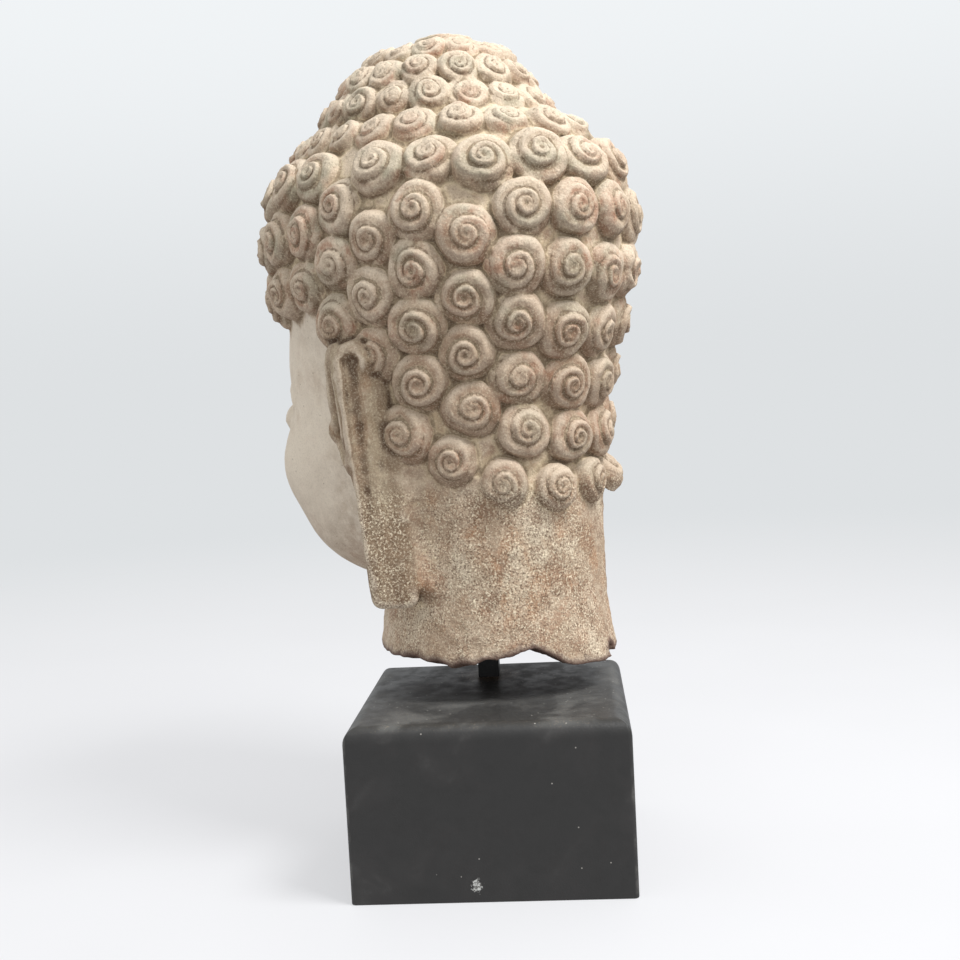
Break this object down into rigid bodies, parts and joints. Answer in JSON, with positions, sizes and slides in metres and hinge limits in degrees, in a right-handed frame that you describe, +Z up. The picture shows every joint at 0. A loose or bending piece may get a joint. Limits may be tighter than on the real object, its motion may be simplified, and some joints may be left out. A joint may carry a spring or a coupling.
{
  "type": "stone buddha head on a stand",
  "caption": "Carved stone head with rows of snail-shell curls, long ears and a broken neck, held on a square bar above a black block.",
  "frame": {"origin": "centre of the block's underside, on the surface that it stands on", "axes": "+Z up, the carved face looks along -Y, +X towards the head's own left ear"},
  "size_m": [0.2753, 0.3228, 0.5485],
  "materials": {
    "carved_stone": "matt, weathered, with pale dust in the hollows",
    "black_steel": "satin black",
    "black_painted_wood": "satin black paint, dusty, with small chips"
  },
  "bodies": {
    "root": {"carved_head": "carved_stone", "mounting_bar": "black_steel", "plinth_block": "black_painted_wood"}
  },
  "joints": []
}
